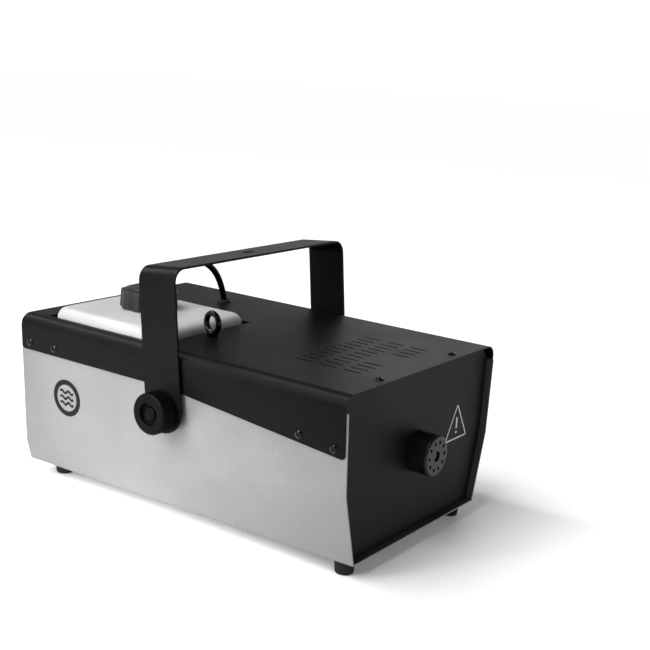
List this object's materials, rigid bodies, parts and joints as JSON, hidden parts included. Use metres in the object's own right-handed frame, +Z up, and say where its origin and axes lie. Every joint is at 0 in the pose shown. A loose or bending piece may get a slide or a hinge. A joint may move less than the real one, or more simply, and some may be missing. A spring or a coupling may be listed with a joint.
{
  "type": "fog machine",
  "caption": "Fog machine with a folded steel housing, angled sides, lift-out fluid tank, tilting clamp bracket and front nozzle.",
  "frame": {"origin": "on the surface that the feet stand on, at the middle of the machine's length and width", "axes": "+Z up; -Y is the front, where the fog leaves the nozzle; +Y is the rear panel; +X is the right side seen from behind the machine"},
  "size_m": [0.287, 0.409, 0.2384],
  "materials": {
    "silver_paint": "satin silver-grey paint on folded steel",
    "black_powder_coat": "fine-textured satin black powder coat",
    "black_screws": "smooth black oxide",
    "galvanised_steel": "galvanised sheet",
    "zinc_plated_steel": "bright zinc plate",
    "black_rubber": "matt black rubber",
    "black_plastic": "moulded black plastic",
    "tank_plastic": "translucent white polyethylene",
    "pale_plastic": "pale tubing and seal",
    "filter_bronze": "sintered bronze",
    "black_anodised": "black anodised aluminium",
    "brass": "machined brass",
    "cast_aluminium": "cast aluminium",
    "mineral_wool": "glass-fibre heat insulation",
    "copper": "drawn copper",
    "ceramic_white": "glazed ceramic",
    "coil_varnish": "varnished winding",
    "circuit_board": "green solder mask",
    "component_plastic": "moulded component cases",
    "red_plastic": "translucent red plastic"
  },
  "bodies": {
    "chassis": {"chassis_shell": "silver_paint", "top_cover": "black_powder_coat", "front_panel": "black_powder_coat", "rear_panel": "black_powder_coat", "bay_wall": "galvanised_steel", "tank_pads": "black_rubber", "heat_shield": "galvanised_steel", "cover_side_screws": "black_screws", "cover_top_screws": "black_screws", "feet": "black_rubber", "foot_screws": "zinc_plated_steel", "foot_nuts": "zinc_plated_steel", "pivot_nuts": "zinc_plated_steel", "friction_washers": "black_rubber", "eye_bolt": "black_screws", "eye_nut": "zinc_plated_steel", "hose_grommet": "black_rubber", "fluid_hose": "black_rubber", "nozzle_guard": "black_anodised", "nozzle_tip": "brass", "heater_block": "cast_aluminium", "heater_jacket": "mineral_wool", "heater_clamps": "galvanised_steel", "thermostat": "copper", "thermal_fuse": "ceramic_white", "pump_yoke": "zinc_plated_steel", "pump_coil": "coil_varnish", "pump_cylinder": "black_plastic", "pump_spring": "zinc_plated_steel", "pump_bracket": "galvanised_steel", "feed_tube": "copper", "control_board": "circuit_board", "board_standoffs": "zinc_plated_steel", "board_parts": "component_plastic", "receiver_board": "circuit_board", "mains_inlet": "black_plastic", "inlet_pins": "zinc_plated_steel", "inlet_screws": "zinc_plated_steel", "fuse_holder": "black_plastic", "switch_housing": "black_plastic", "status_lamp": "red_plastic", "remote_socket": "black_plastic"},
    "bracket": {"bracket": "black_powder_coat", "clamp_washers": "zinc_plated_steel"},
    "left_knob": {"left_knob": "black_plastic", "left_stud": "zinc_plated_steel"},
    "right_knob": {"right_knob": "black_plastic", "right_stud": "zinc_plated_steel"},
    "tank": {"tank": "tank_plastic", "hose_elbow": "black_plastic"},
    "cap": {"cap": "black_plastic", "cap_seal": "pale_plastic", "pickup_tube": "pale_plastic", "pickup_filter": "filter_bronze"},
    "plunger": {"pump_plunger": "zinc_plated_steel"},
    "rocker": {"rocker": "red_plastic"},
    "fuse_cap": {"fuse_cap": "black_plastic"}
  },
  "joints": [
    {"name": "bracket_tilt", "type": "hinge", "parent": "chassis", "child": "bracket", "pos_m": [0, 0.003, 0.1108], "axis": [1, 0, 0], "range_deg": [-22.5, 59.5]},
    {"name": "left_knob_turn", "type": "hinge", "parent": "chassis", "child": "left_knob", "pos_m": [-0.1435, 0.003, 0.1108], "axis": [-1, 0, 0], "range_deg": [0, 360]},
    {"name": "right_knob_turn", "type": "hinge", "parent": "chassis", "child": "right_knob", "pos_m": [0.1435, 0.003, 0.1108], "axis": [1, 0, 0], "range_deg": [0, 360]},
    {"name": "tank_lift", "type": "slide", "parent": "chassis", "child": "tank", "axis": [0, 0, 1], "range_m": [0, 0.05], "deforming": ["fluid_hose"]},
    {"name": "cap_turn", "type": "hinge", "parent": "tank", "child": "cap", "pos_m": [-0.0435, 0.101, 0.1805], "axis": [0, 0, 1], "range_deg": [0, 360]},
    {"name": "pump_stroke", "type": "slide", "parent": "chassis", "child": "plunger", "axis": [0, 0, -1], "range_m": [0, 0.004], "stiffness_N_per_m": 800, "springref_m": -0.0003, "deforming": ["pump_spring"]},
    {"name": "power_rocker", "type": "hinge", "parent": "chassis", "child": "rocker", "pos_m": [0.044, 0.1865, 0.106], "axis": [1, 0, 0], "range_deg": [0, 18]},
    {"name": "fuse_cap_turn", "type": "hinge", "parent": "chassis", "child": "fuse_cap", "pos_m": [0.074, 0.1895, 0.106], "axis": [0, 1, 0], "range_deg": [0, 90]}
  ]
}
